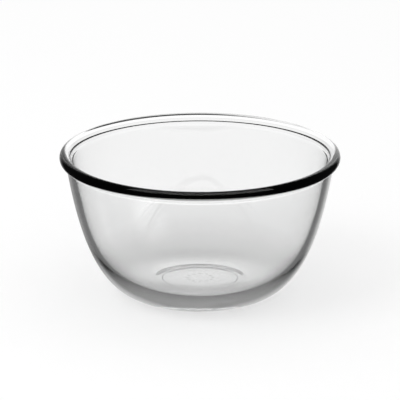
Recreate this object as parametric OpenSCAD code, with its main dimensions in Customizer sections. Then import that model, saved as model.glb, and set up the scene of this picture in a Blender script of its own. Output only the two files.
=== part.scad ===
// Prep bowl: one piece of pressed, clear, heat-resistant glass, standing on its foot, open side up.
// The outline runs from the axis under the bowl, out over the foot, up the outside,
// round the rolled rim, down the mouth's slope and the inside, and back to the axis across the floor.

/* [Rim] */
// Diameter across the rolled rim, the widest part of the bowl
rim_d = 139.5; // [100:0.5:220]
// Radius of the bead that is rolled out at the rim
bead_r = 2.6; // [2:0.1:2.8]
// How far the bead stands out past the top of the wall
bead_overhang = 3.4; // [3:0.1:4]
// Radius of the hollow between the wall and the bead's underside
bead_fillet_r = 2; // [1:0.1:4]
// Slope of the mouth's inner side, from the bead down to the wall, in degrees from level
mouth_slope = 58; // [48:1:62]
// Radius that rounds the mouth's slope into the wall
mouth_corner_r = 1.2; // [0.5:0.1:2]

/* [Wall] */
// Height of the bowl, from the table to the top of the rim
bowl_h = 73.3; // [60:0.1:120]
// Thickness of the wall just under the rim
wall_t = 3.7; // [3:0.1:5.5]
// Slope of the wall just under the rim, in degrees from upright
wall_draft = 8.7; // [5:0.1:12]

/* [Base] */
// Thickness from the table up to the middle of the inside's floor
base_t = 6.8; // [4.5:0.1:8]
// Diameter at which the outside meets the table
foot_d = 56; // [48:0.5:84]
// Width of the flat ring that the bowl stands on
foot_ring_w = 2.5; // [1.5:0.1:6]
// Height of the slope between that ring and the valve's ring
hollow_step_h = 0.7; // [0.4:0.1:1.4]
// Height of the shallow dome inside the valve's ring
hollow_dome_h = 0.7; // [0.3:0.1:1.2]
// Diameter of the fine ring left by the mould's valve
valve_ring_d = 38.8; // [28:0.2:42]

/* [Mould dots] */
// How many small dots stand in a circle under the base
dot_count = 12; // [6:1:18]
// Diameter of the circle of dots
dot_circle_d = 13; // [10:0.5:18]
// Radius of the ball that each dot is the cap of
dot_ball_r = 0.9; // [0.7:0.1:1.2]
// How far a dot stands out of the glass
dot_proud = 0.3; // [0.2:0.05:0.4]

/* [Hidden] */
$fn = 128;

// Where the wall's curve pulls: shares of the way out from the foot, and of the way up the wall
heel_share = 0.454;
shoulder_share = 0.749;
// Where the inside's curve pulls: shares of the way out to the wall, and of the way down it to the floor.
// The second is over 1, which leaves the floor's middle a touch higher than the floor round it
inner_heel_share = 0.554;
inner_shoulder_share = 1.161;
// The dome is flat in the middle and steepest at the valve's ring, as a radius to this power
dome_power = 3;
// How far the valve's ring stands out of the glass
valve_ring_proud = 0.25;
// How far the mouth's end stays clear of the next point down the wall
clear_of_mouth = 0.05;
// Steps along the wall's two curves and along the shorter round stretches
wall_steps = 44;
bead_steps = 24;
fillet_steps = 8;
corner_steps = 6;
dome_steps = 10;
slope_steps = 10;

rim_r = rim_d / 2;
foot_r = foot_d / 2;
foot_ring_inner_r = foot_r - foot_ring_w;
valve_ring_r = valve_ring_d / 2;

// The bead's centre, and the centre of the hollow that touches it and the wall
bead_at = [rim_r - bead_r, bowl_h - bead_r];
wall_top_r = rim_r - bead_overhang;
fillet_x = wall_top_r + bead_fillet_r * cos(wall_draft);
fillet_drop = sqrt(pow(bead_r + bead_fillet_r, 2) - pow(bead_at.x - fillet_x, 2));
fillet_at = [fillet_x, bead_at.y - fillet_drop];
bead_start_angle = atan2(fillet_at.y - bead_at.y, fillet_at.x - bead_at.x);
bead_end_angle = 90 + mouth_slope;

// The outside of the wall is one smooth curve from the foot to just under the rim
wall_up = [sin(wall_draft), cos(wall_draft)];
wall_in = [-cos(wall_draft), sin(wall_draft)];
wall_top = fillet_at + bead_fillet_r * wall_in;
foot_edge = [foot_r, 0];
heel = [foot_r + heel_share * (wall_top_r - foot_r), 0];
shoulder = wall_top - shoulder_share * wall_top.y / wall_up.y * wall_up;
wall_curve = [foot_edge, heel, shoulder, wall_top];

// The inside is one smooth curve too, from the middle of the floor to the top of the wall,
// and leaves the glass thickest round the heel
inner_top = wall_top + wall_t * wall_in;
floor_centre = [0, base_t];
inner_heel = [inner_heel_share * inner_top.x, base_t];
inner_shoulder = inner_top - inner_shoulder_share * (inner_top.y - base_t) / wall_up.y * wall_up;
inner_curve = [floor_centre, inner_heel, inner_shoulder, inner_top];

// The mouth's corner touches the slope that leaves the bead and the straight top of the inside
out_of_slope = [cos(bead_end_angle), sin(bead_end_angle)];
down_slope = [-cos(mouth_slope), -sin(mouth_slope)];
slope_line_at = bead_at + (bead_r - mouth_corner_r) * out_of_slope;
wall_line_at = inner_top - mouth_corner_r * wall_in;
corner_rise = cross(slope_line_at - wall_line_at, down_slope) / cross(wall_up, down_slope);
corner_at = wall_line_at + corner_rise * wall_up;

function curve_point(p, t) =
    pow(1 - t, 3) * p[0] + 3 * t * pow(1 - t, 2) * p[1] + 3 * pow(t, 2) * (1 - t) * p[2] + pow(t, 3) * p[3];

function arc(centre, r, from, to, steps) =
    [for (i = [0 : steps]) let (a = from + (to - from) * i / steps) centre + r * [cos(a), sin(a)]];

// Height of the underside at a radius: the dome out to the valve's ring, then a soft slope to the table
function dome_z(r) = hollow_step_h + hollow_dome_h * (1 - pow(r / valve_ring_r, dome_power));

function slope_z(r) =
    let (share = (foot_ring_inner_r - r) / (foot_ring_inner_r - valve_ring_r))
    hollow_step_h * (1 - cos(180 * share)) / 2;

dome = [for (i = [0 : dome_steps - 1]) let (r = valve_ring_r * i / dome_steps) [r, dome_z(r)]];
dome_slope = [
    for (i = [0 : slope_steps])
        let (r = valve_ring_r + (foot_ring_inner_r - valve_ring_r) * i / slope_steps) [r, slope_z(r)]
];
outside = [for (i = [0 : wall_steps - 1]) curve_point(wall_curve, i / wall_steps)];
hollow_under_bead = arc(fillet_at, bead_fillet_r, 180 - wall_draft, 180 + bead_start_angle, fillet_steps);
bead = [for (i = [1 : bead_steps]) arc(bead_at, bead_r, bead_start_angle, bead_end_angle, bead_steps)[i]];
mouth_corner = arc(corner_at, mouth_corner_r, bead_end_angle, 180 - wall_draft, corner_steps);
mouth_end_z = mouth_corner[corner_steps].y - clear_of_mouth;
inside = [
    for (i = [wall_steps : -1 : 0])
        let (p = curve_point(inner_curve, i / wall_steps)) if (p.y < mouth_end_z) p
];

// Glass in section, on one side of the axis
module section() {
    polygon(concat(dome, dome_slope, outside, hollow_under_bead, bead, mouth_corner, inside));
}

// A fine half-round line where the valve met the rest of the mould
module valve_ring() {
    rotate_extrude()
        translate([valve_ring_r, hollow_step_h]) circle(r = valve_ring_proud, $fn = 24);
}

// A circle of low dots under the middle of the base
module mould_dots() {
    for (i = [0 : dot_count - 1])
        rotate([0, 0, 360 * i / dot_count])
            translate([dot_circle_d / 2, 0, dome_z(dot_circle_d / 2) + dot_ball_r - dot_proud])
                sphere(r = dot_ball_r, $fn = 32);
}

module bowl() {
    color([0.93, 0.95, 0.95, 0.4]) {
        rotate_extrude() section();
        valve_ring();
        mould_dots();
    }
}

bowl();
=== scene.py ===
"""Looks for the prep bowl: one piece of clear pressed glass, turned from its section, on a pale floor."""

import math

import bpy
import numpy as np
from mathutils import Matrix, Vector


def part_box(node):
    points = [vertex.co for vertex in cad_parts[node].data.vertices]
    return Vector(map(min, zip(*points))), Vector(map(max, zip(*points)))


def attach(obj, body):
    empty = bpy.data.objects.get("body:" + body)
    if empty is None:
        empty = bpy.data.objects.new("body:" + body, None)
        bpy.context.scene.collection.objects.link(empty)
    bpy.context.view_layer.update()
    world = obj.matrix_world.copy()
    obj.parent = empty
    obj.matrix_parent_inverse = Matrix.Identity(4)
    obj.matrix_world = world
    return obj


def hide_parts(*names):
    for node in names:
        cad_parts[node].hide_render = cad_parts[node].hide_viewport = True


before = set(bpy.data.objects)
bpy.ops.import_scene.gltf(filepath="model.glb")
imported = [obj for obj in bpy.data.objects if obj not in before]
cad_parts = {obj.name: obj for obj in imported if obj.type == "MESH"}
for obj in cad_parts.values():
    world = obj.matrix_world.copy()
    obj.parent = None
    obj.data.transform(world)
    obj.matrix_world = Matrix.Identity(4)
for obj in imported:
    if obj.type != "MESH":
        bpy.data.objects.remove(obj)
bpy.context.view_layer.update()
low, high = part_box("bowl")

MM = 0.001

# ---------------------------------------------------------------- the bowl's driving sizes, in metres
RIM_R = min(high.x, high.y)
BOWL_H = high.z
BEAD_R = 2.6 * MM                # the bead that is rolled out at the rim
BEAD_OVERHANG = 3.4 * MM         # how far the rim stands out past the wall's top
FILLET_R = 2.0 * MM              # the hollow between the wall and the bead's underside
MOUTH_SLOPE = math.radians(58)   # slope of the mouth's inner side, from level
MOUTH_CORNER_R = 1.2 * MM        # rounds the mouth's slope into the wall
WALL_T = 3.7 * MM                # just under the rim
WALL_DRAFT = math.radians(8.7)   # slope of the wall under the rim, from upright
BASE_T = 6.8 * MM                # from the table up to the middle of the floor
FOOT_R = 28.0 * MM
FOOT_RING_W = 2.5 * MM           # the flat ring that the bowl stands on
RING_INNER_R = FOOT_R - FOOT_RING_W
HOLLOW_DOME_H = 0.7 * MM
HOLLOW_STEP_H = 0.7 * MM
DOME_POWER = 3
VALVE_RING_R = 19.4 * MM
VALVE_RING_PROUD = 0.25 * MM
RIDGE_SPREAD = 1.5               # half the width of the valve's ring, for its height
# Where the curves of the outside and the inside pull, as shares of their way out and of the wall
HEEL_SHARE = 0.454
SHOULDER_SHARE = 0.749
INNER_HEEL_SHARE = 0.554
INNER_SHOULDER_SHARE = 1.161
DOT_COUNT = 12
DOT_CIRCLE_R = 6.5 * MM
DOT_BALL_R = 0.9 * MM
DOT_PROUD = 0.3 * MM

# ---------------------------------------------------------------- how finely the bowl is turned
AROUND = 512                     # steps round the bowl
CURVE_STEPS = 160
BEAD_STEPS = 64
CORNER_STEPS = 32
HOLLOW_STEPS = 16
MOUTH_STEPS = 12
STRAIGHT_STEPS = 5
FOOT_STEPS = 6
UNDER_STEPS = 40                 # between the dots and the valve's ring, and on to the foot
RIDGE_STEPS = 20                 # across the valve's ring
MIDDLE_STEPS = 11                # inside the circle of dots
DOT_STEPS = 18                   # across the dots
MIDDLE_MARGIN = 1.0 * MM         # how far the steps on either side stay off the dots' circle
OUTER_MARGIN = 1.2 * MM
CLEAR_OF_MOUTH = 0.05 * MM       # how far the mouth's end stays clear of the next point down the wall

# ---------------------------------------------------------------- the glass
IOR = 1.474                      # borosilicate glass
TINT_DARK = (0.953, 0.956, 0.956, 1)
TINT_PALE = (0.957, 0.958, 0.957, 1)
WAVE_SCALE = 45.0                # waves of the pressing, per metre
WAVE_DETAIL = 1.0
WAVE_ROUGHNESS = 0.3
WAVE_HEIGHT = 0.08 * MM
WIPED_SCALE = 45.0               # marks of wiping, per metre
WIPED_DETAIL = 3.0
WIPED_DISTORTION = 1.2
WIPED_FROM, WIPED_TO = 0.45, 0.75
WIPED_ROUGHNESS = 0.012          # where the polish is least
HAZE = 0.20                      # share of the light that the foot and heel scatter
HAZE_LOW = 10 * MM               # full up to here
HAZE_HIGH = 22 * MM              # none from here up


# ---------------------------------------------------------------- the section
def arc(centre, radius, start, end, steps):
    a = np.linspace(start, end, steps + 1)
    return np.asarray(centre) + radius * np.stack([np.cos(a), np.sin(a)], 1)


def cubic(a, b, c, d):
    t = np.linspace(0, 1, CURVE_STEPS + 1)[:, None]
    return (1 - t) ** 3 * a + 3 * t * (1 - t) ** 2 * b + 3 * t * t * (1 - t) * c + t ** 3 * d


def between(a, b, steps):
    """The points that part the straight line from a to b into steps, without its ends."""
    return a + (b - a) * np.linspace(0, 1, steps + 1)[1:-1, None]


def underside_z(r):
    """Height under the bowl: the dome, the slope from the valve's ring to the foot, and the ring's fine ridge."""
    dome = HOLLOW_DOME_H * np.clip(1 - (r / VALVE_RING_R) ** DOME_POWER, 0, 1)
    share = np.clip((RING_INNER_R - r) / (RING_INNER_R - VALVE_RING_R), 0, 1)
    z = dome + HOLLOW_STEP_H * (1 - np.cos(np.pi * share)) / 2
    ridge = np.clip(1 - ((r - VALVE_RING_R) / (RIDGE_SPREAD * VALVE_RING_PROUD)) ** 2, 0, 1) ** 2
    return z - VALVE_RING_PROUD * ridge


def underside():
    """From the axis to the foot, with the steps closest together at the dots and at the valve's ring."""
    ridge = 2 * VALVE_RING_PROUD
    r = np.concatenate([
        np.linspace(0, DOT_CIRCLE_R - MIDDLE_MARGIN, MIDDLE_STEPS + 1),
        np.linspace(DOT_CIRCLE_R - DOT_BALL_R, DOT_CIRCLE_R + DOT_BALL_R, DOT_STEPS + 1),
        np.linspace(DOT_CIRCLE_R + OUTER_MARGIN, VALVE_RING_R, UNDER_STEPS + 1)[:-1],
        np.linspace(VALVE_RING_R, RING_INNER_R, UNDER_STEPS + 1),
        np.linspace(VALVE_RING_R - ridge, VALVE_RING_R + ridge, RIDGE_STEPS + 1)])
    r = np.unique(np.round(r, 7))
    return np.stack([r, underside_z(r)], 1)


def section():
    """The outline, as (radius, height), from the axis under the bowl, round the rim, to the floor's centre."""
    up = np.array([math.sin(WALL_DRAFT), math.cos(WALL_DRAFT)])
    inward = np.array([-math.cos(WALL_DRAFT), math.sin(WALL_DRAFT)])
    bead = np.array([RIM_R - BEAD_R, BOWL_H - BEAD_R])
    wall_top_r = RIM_R - BEAD_OVERHANG
    fillet_r = wall_top_r + FILLET_R * math.cos(WALL_DRAFT)
    fillet_drop = math.sqrt((BEAD_R + FILLET_R) ** 2 - (bead[0] - fillet_r) ** 2)
    fillet = np.array([fillet_r, bead[1] - fillet_drop])
    bead_start = math.atan2(fillet[1] - bead[1], fillet[0] - bead[0])
    wall_top = fillet + FILLET_R * inward

    # The outside of the wall is one cubic curve from the foot to the bead's hollow
    foot_edge = np.array([FOOT_R, 0.0])
    heel = np.array([FOOT_R + HEEL_SHARE * (wall_top_r - FOOT_R), 0.0])
    shoulder = wall_top - SHOULDER_SHARE * wall_top[1] / up[1] * up
    outside = cubic(foot_edge, heel, shoulder, wall_top)

    # The inside is one too, from the middle of the floor to the top of the wall
    inner_top = wall_top + WALL_T * inward
    floor_centre = np.array([0.0, BASE_T])
    inner_heel = np.array([INNER_HEEL_SHARE * inner_top[0], BASE_T])
    inner_shoulder = inner_top - INNER_SHOULDER_SHARE * (inner_top[1] - BASE_T) / up[1] * up
    inside = cubic(floor_centre, inner_heel, inner_shoulder, inner_top)

    # The mouth's inner side slopes down from the bead, and a corner rounds it into the wall
    bead_end = math.pi / 2 + MOUTH_SLOPE
    out_of_slope = np.array([math.cos(bead_end), math.sin(bead_end)])
    down_slope = np.array([-math.cos(MOUTH_SLOPE), -math.sin(MOUTH_SLOPE)])
    slope_line = bead + (BEAD_R - MOUTH_CORNER_R) * out_of_slope
    wall_line = inner_top - MOUTH_CORNER_R * inward
    gap = slope_line - wall_line
    lift = gap[0] * down_slope[1] - gap[1] * down_slope[0]
    lift /= up[0] * down_slope[1] - up[1] * down_slope[0]
    corner = wall_line + lift * up

    foot_flat = between(np.array([RING_INNER_R, 0.0]), foot_edge, FOOT_STEPS)
    hollow = arc(fillet, FILLET_R, math.pi - WALL_DRAFT, math.pi + bead_start, HOLLOW_STEPS)[1:]
    bead_line = arc(bead, BEAD_R, bead_start, bead_end, BEAD_STEPS)[1:]
    corner_line = arc(corner, MOUTH_CORNER_R, bead_end, math.pi - WALL_DRAFT, CORNER_STEPS)
    mouth = between(bead_line[-1], corner_line[0], MOUTH_STEPS)
    inside = inside[inside[:, 1] < corner_line[-1, 1] - CLEAR_OF_MOUTH][::-1]
    straight = between(corner_line[-1], inside[0], STRAIGHT_STEPS)
    return np.concatenate([underside(), foot_flat, outside, hollow, bead_line, mouth, corner_line,
                           straight, inside])


def with_dots(r, a, z):
    """The heights z, with the caps of small balls that stand down out of the hollow's ceiling."""
    pitch = 2 * np.pi / DOT_COUNT
    nearest = np.round(a / pitch) * pitch
    off = np.hypot(r * np.cos(a) - DOT_CIRCLE_R * np.cos(nearest),
                   r * np.sin(a) - DOT_CIRCLE_R * np.sin(nearest))
    cap = np.sqrt(np.clip(DOT_BALL_R ** 2 - off ** 2, 0, None)) - (DOT_BALL_R - DOT_PROUD)
    first_half = np.arange(len(z))[:, None] < len(z) // 2
    under = (z < HOLLOW_DOME_H + HOLLOW_STEP_H + MM) & (r < VALVE_RING_R) & first_half
    return np.where(under, z - np.clip(cap, 0, None), z)


def bowl_mesh():
    line = section()
    rings = line[1:-1]
    angle = np.arange(AROUND) * 2 * np.pi / AROUND
    r = np.repeat(rings[:, :1], AROUND, 1)
    z = np.repeat(rings[:, 1:], AROUND, 1)
    a = np.repeat(angle[None], len(rings), 0)
    z = with_dots(r, a, z)
    points = np.stack([r * np.cos(a), r * np.sin(a), z], -1).reshape(-1, 3)
    points = np.concatenate([points, [[0, 0, line[0, 1]], [0, 0, line[-1, 1]]]])
    count = len(rings)
    i, j = np.meshgrid(np.arange(count - 1), np.arange(AROUND), indexing="ij")
    k = (j + 1) % AROUND
    corners = [i * AROUND + j, i * AROUND + k, (i + 1) * AROUND + k, (i + 1) * AROUND + j]
    quads = np.stack(corners, -1).reshape(-1, 4)
    j = np.arange(AROUND)
    k = (j + 1) % AROUND
    bottom, top = count * AROUND, count * AROUND + 1
    last = (count - 1) * AROUND
    fan_low = np.stack([np.full(AROUND, bottom), k, j], 1)
    fan_high = np.stack([np.full(AROUND, top), last + j, last + k], 1)
    mesh = bpy.data.meshes.new("bowl_glass")
    mesh.from_pydata(points.tolist(), [], quads.tolist() + fan_low.tolist() + fan_high.tolist())
    mesh.update()
    mesh.shade_smooth()
    return mesh


# ---------------------------------------------------------------- materials
def glass_material():
    """Clear glass with the faint waves of a pressing, wiping marks in its polish, and a worn foot and heel."""
    m = bpy.data.materials.new("clear_pressed_glass")
    m.use_nodes = True
    tree = m.node_tree
    new, link = tree.nodes.new, tree.links.new
    shader = tree.nodes["Principled BSDF"]
    shader.inputs["IOR"].default_value = IOR
    # Clear throughout, wherever the haze below isn't read
    shader.inputs["Transmission Weight"].default_value = 1.0
    place = new("ShaderNodeTexCoord").outputs["Object"]

    waves = new("ShaderNodeTexNoise")
    waves.inputs["Scale"].default_value = WAVE_SCALE
    waves.inputs["Detail"].default_value = WAVE_DETAIL
    waves.inputs["Roughness"].default_value = WAVE_ROUGHNESS
    link(place, waves.inputs["Vector"])
    bump = new("ShaderNodeBump")
    bump.inputs["Strength"].default_value = 1.0
    bump.inputs["Distance"].default_value = WAVE_HEIGHT
    link(waves.outputs[0], bump.inputs["Height"])
    link(bump.outputs["Normal"], shader.inputs["Normal"])

    wiped = new("ShaderNodeTexNoise")
    wiped.inputs["Scale"].default_value = WIPED_SCALE
    wiped.inputs["Detail"].default_value = WIPED_DETAIL
    wiped.inputs["Distortion"].default_value = WIPED_DISTORTION
    link(place, wiped.inputs["Vector"])
    polish = new("ShaderNodeMapRange")
    polish.inputs["From Min"].default_value = WIPED_FROM
    polish.inputs["From Max"].default_value = WIPED_TO
    polish.inputs["To Max"].default_value = WIPED_ROUGHNESS
    link(wiped.outputs[0], polish.inputs["Value"])
    link(polish.outputs["Result"], shader.inputs["Roughness"])

    # The foot and heel are worn: some of the light is scattered there
    up_the_wall = new("ShaderNodeSeparateXYZ")
    link(place, up_the_wall.inputs[0])
    worn = new("ShaderNodeMapRange")
    worn.inputs["From Min"].default_value = HAZE_LOW
    worn.inputs["From Max"].default_value = HAZE_HIGH
    worn.inputs["To Min"].default_value = 1 - HAZE
    link(up_the_wall.outputs["Z"], worn.inputs["Value"])
    link(worn.outputs["Result"], shader.inputs["Transmission Weight"])

    tint = new("ShaderNodeValToRGB")
    tint.color_ramp.elements[0].color = TINT_DARK
    tint.color_ramp.elements[1].color = TINT_PALE
    link(waves.outputs[0], tint.inputs["Fac"])
    link(tint.outputs["Color"], shader.inputs["Base Color"])
    return m


FLOOR_PAINT = (0.95, 0.95, 0.95, 1)
WHITE = (1, 1, 1, 1)
FLOOR_GLOW_SHARE = 0.5           # the rest of the floor is matt and shows the bowl's shadow


def floor_material():
    m = bpy.data.materials.new("pale_floor")
    m.use_nodes = True
    tree = m.node_tree
    tree.nodes.clear()
    out = tree.nodes.new("ShaderNodeOutputMaterial")
    mix = tree.nodes.new("ShaderNodeMixShader")
    matt = tree.nodes.new("ShaderNodeBsdfDiffuse")
    glow = tree.nodes.new("ShaderNodeEmission")
    matt.inputs["Color"].default_value = FLOOR_PAINT
    glow.inputs["Color"].default_value = WHITE
    mix.inputs["Fac"].default_value = FLOOR_GLOW_SHARE
    tree.links.new(matt.outputs[0], mix.inputs[1])
    tree.links.new(glow.outputs[0], mix.inputs[2])
    tree.links.new(mix.outputs[0], out.inputs["Surface"])
    return m


# ---------------------------------------------------------------- the bowl
bowl = bpy.data.objects.new("bowl_glass", bowl_mesh())
bpy.context.scene.collection.objects.link(bowl)
bowl.data.materials.append(glass_material())
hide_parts("bowl")
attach(bowl, "root")

# ---------------------------------------------------------------- the floor
FLOOR_HALF = 3.0
FLOOR_DROP = 0.05 * MM           # just under the foot
floor_mesh = bpy.data.meshes.new("floor")
floor_mesh.from_pydata([(-FLOOR_HALF, -FLOOR_HALF, 0), (FLOOR_HALF, -FLOOR_HALF, 0), (FLOOR_HALF, FLOOR_HALF, 0),
                        (-FLOOR_HALF, FLOOR_HALF, 0)], [], [(0, 1, 2, 3)])
floor = bpy.data.objects.new("floor", floor_mesh)
floor.location.z = -FLOOR_DROP
bpy.context.scene.collection.objects.link(floor)
floor.data.materials.append(floor_material())
# In and through the glass, the world below shows in the floor's place
floor.visible_transmission = False
floor.visible_glossy = False

# ---------------------------------------------------------------- the studio's light
# Levels are strengths of the world, where 1 is white.
# A window is (start, end, width of its soft edges), and all angles are in degrees.
# Azimuth 0 is straight away from the camera, and 90 is to the right.
STUDIO = 0.95                    # what lights the matt floor
HAZE_LEVEL = 1.0                 # what lights the haze in the glass

# By elevation, seen through one wall: a bright sweep
ONE_WALL = ((-90, 0.85), (-62, 0.85), (-40, 1.0), (-37, 1.16), (-22, 1.16), (-19.5, 0.95), (-17, 0.94),
            (-11, 1.0), (35, 1.06), (60, 0.9), (90, 0.85))
# In it, one dark patch of the table behind the bowl, to the right of the middle
PATCH_LEVEL = 0.04
PATCH_AZIMUTH = (-6, 38, 12)
PATCH_ELEVATION = (-57, -38, 3)
# By elevation, seen through both walls, or through a wall and the base: darkest at a look 40 degrees down
BOTH_WALLS = ((-90, 0.95), (-60, 0.88), (-50, 0.60), (-41, 0.34), (-37, 0.40), (-33, 0.49), (-30, 0.58),
              (-28, 0.72), (-25, 0.80), (-20, 0.87), (-17, 1.0), (-15, 1.15), (35, 1.18), (60, 1.0), (90, 0.9))

# Mirrored inside the glass: the dark surround of the table below an edge, the bright studio above it
INSIDE_EDGE, INSIDE_SOFT = -4, 10
INSIDE_BELOW, INSIDE_ABOVE = 0.27, 0.85
IN_BASE_EDGE, IN_BASE_SOFT = -33, 8
IN_BASE_BELOW, IN_BASE_ABOVE = 0.32, 1.25

# Mirrored off the outside: the bright backdrop ahead of the camera, and the dark room behind it
ROOM_LEVEL = 0.03
BACKDROP_AZIMUTH = (-28, 28, 20)
BACKDROP_ELEVATION = (-56, 30, 16)
BACKDROP_LOW_EDGE, BACKDROP_LOW_SOFT, BACKDROP_LOW = -29, 8, 0.8
BACKDROP_SIDE_EDGE, BACKDROP_SIDE_SOFT = 0, 16
BACKDROP_LEFT, BACKDROP_RIGHT = 0.5, 1.0

# A tall soft box at the front right shows as a soft patch inside the left of the back wall
BOX_LEVEL = 2.6
BOX_AZIMUTH = (102, 136, 24)
BOX_ELEVATION = (14, 40, 16)

MIRRORED_OFTEN = 2               # light that the glass mirrors more often than this is all but lost
LOST_LEVEL = 0.004

world = bpy.data.worlds.new("studio")
bpy.context.scene.world = world
world.use_nodes = True
tree = world.node_tree
tree.nodes.clear()


def math_node(kind, a, b=None):
    n = tree.nodes.new("ShaderNodeMath")
    n.operation = kind
    for socket, value in zip(n.inputs, (a, b)):
        if value is None:
            continue
        if isinstance(value, (int, float)):
            socket.default_value = value
        else:
            tree.links.new(value, socket)
    return n.outputs[0]


def multiply(a, b):
    return math_node("MULTIPLY", a, b)


def blend(fac, a, b):
    """a where fac is 0, b where it is 1."""
    return math_node("ADD", multiply(math_node("SUBTRACT", 1, fac), a), multiply(fac, b))


def over(value, edge, soft):
    """0 below edge, 1 above it, over a soft stretch."""
    n = tree.nodes.new("ShaderNodeMapRange")
    n.interpolation_type = "SMOOTHSTEP"
    n.inputs["From Min"].default_value = edge - soft / 2
    n.inputs["From Max"].default_value = edge + soft / 2
    tree.links.new(value, n.inputs["Value"])
    return n.outputs["Result"]


def window(value, start, end, soft):
    """1 from start to end and 0 beyond, over soft stretches."""
    return multiply(over(value, start, soft), math_node("SUBTRACT", 1, over(value, end, soft)))


def patch_of_sky(azimuth_window, elevation_window):
    return multiply(window(azimuth, *azimuth_window), window(elevation, *elevation_window))


def by_elevation(stops):
    """Brightness by elevation, in even blends between the stops."""
    n = tree.nodes.new("ShaderNodeValToRGB")
    ramp = n.color_ramp
    while len(ramp.elements) < len(stops):
        ramp.elements.new(0.5)
    for element, (degrees, bright) in zip(ramp.elements, stops):
        element.position = 0.5 + degrees / 180
        element.color = (bright, bright, bright, 1)
    tree.links.new(math_node("ADD", math_node("DIVIDE", elevation, 180), 0.5), n.inputs["Fac"])
    return n.outputs["Color"]


path = tree.nodes.new("ShaderNodeLightPath").outputs


def more_than(depth, times):
    """1 where light has met that kind of surface more than this many times, and 0 elsewhere."""
    return math_node("GREATER_THAN", path[depth], times + 0.5)


direction = tree.nodes.new("ShaderNodeSeparateXYZ")
tree.links.new(tree.nodes.new("ShaderNodeTexCoord").outputs["Generated"], direction.inputs[0])
elevation = multiply(math_node("ARCSINE", direction.outputs["Z"]), 180 / math.pi)
azimuth = multiply(math_node("ARCTAN2", direction.outputs["X"], direction.outputs["Y"]), 180 / math.pi)
mirrored_once = more_than("Glossy Depth", 0)
mirrored_often = more_than("Glossy Depth", MIRRORED_OFTEN)
through_glass = more_than("Transmission Depth", 0)
both_walls = more_than("Transmission Depth", 2)

one_wall = blend(patch_of_sky(PATCH_AZIMUTH, PATCH_ELEVATION), by_elevation(ONE_WALL), PATCH_LEVEL)
straight = blend(both_walls, one_wall, by_elevation(BOTH_WALLS))

in_wall = blend(over(elevation, INSIDE_EDGE, INSIDE_SOFT), INSIDE_BELOW, INSIDE_ABOVE)
in_base = blend(over(elevation, IN_BASE_EDGE, IN_BASE_SOFT), IN_BASE_BELOW, IN_BASE_ABOVE)
inside_glass = blend(both_walls, in_wall, in_base)

side = blend(over(azimuth, BACKDROP_SIDE_EDGE, BACKDROP_SIDE_SOFT), BACKDROP_LEFT, BACKDROP_RIGHT)
backdrop = blend(over(elevation, BACKDROP_LOW_EDGE, BACKDROP_LOW_SOFT), BACKDROP_LOW, side)
off_outside = blend(patch_of_sky(BACKDROP_AZIMUTH, BACKDROP_ELEVATION), ROOM_LEVEL, backdrop)

box = multiply(patch_of_sky(BOX_AZIMUTH, BOX_ELEVATION), both_walls)
mirrored = math_node("ADD", blend(through_glass, off_outside, inside_glass), multiply(box, BOX_LEVEL))

level = blend(through_glass, STUDIO, straight)
level = blend(mirrored_once, level, mirrored)
level = blend(multiply(through_glass, more_than("Diffuse Depth", 0)), level, HAZE_LEVEL)
level = blend(mirrored_often, level, LOST_LEVEL)
level = blend(path["Is Camera Ray"], level, 1.0)
background = tree.nodes.new("ShaderNodeBackground")
background.inputs["Color"].default_value = WHITE
tree.links.new(level, background.inputs["Strength"])
tree.links.new(background.outputs[0], tree.nodes.new("ShaderNodeOutputWorld").inputs["Surface"])

LAMP_SIDE = 0.6
LAMP_POWER = 3.0
LAMP_AT = (-0.7, -0.5, 1.0)
LAMP_TILT = math.radians(40)
LAMP_TURN = math.radians(-54)
lamp_data = bpy.data.lights.new("softbox", "AREA")
lamp_data.shape = "RECTANGLE"
lamp_data.size = LAMP_SIDE
lamp_data.size_y = LAMP_SIDE
lamp_data.energy = LAMP_POWER
lamp = bpy.data.objects.new("softbox", lamp_data)
lamp.location = LAMP_AT
lamp.rotation_euler = (LAMP_TILT, 0, LAMP_TURN)
lamp.visible_glossy = False
lamp.visible_transmission = False
bpy.context.scene.collection.objects.link(lamp)

# ---------------------------------------------------------------- the camera, as in the photograph
VIEW_ELEVATION = math.radians(18.172)
VIEW_DISTANCE = 1.2
AIM_HEIGHT = 47.34 * MM
FOCAL_PIXELS = 2400.8            # the focal length in the photograph's pixels
PHOTO_WIDTH = 400
camera_data = bpy.data.cameras.new("camera")
camera_data.sensor_width = 36
camera_data.lens = FOCAL_PIXELS / PHOTO_WIDTH * camera_data.sensor_width
camera = bpy.data.objects.new("camera", camera_data)
camera.location = (0, -VIEW_DISTANCE * math.cos(VIEW_ELEVATION),
                   AIM_HEIGHT + VIEW_DISTANCE * math.sin(VIEW_ELEVATION))
camera.rotation_euler = (math.pi / 2 - VIEW_ELEVATION, 0, 0)
bpy.context.scene.collection.objects.link(camera)
bpy.context.scene.camera = camera

bpy.context.scene.view_settings.view_transform = "Standard"
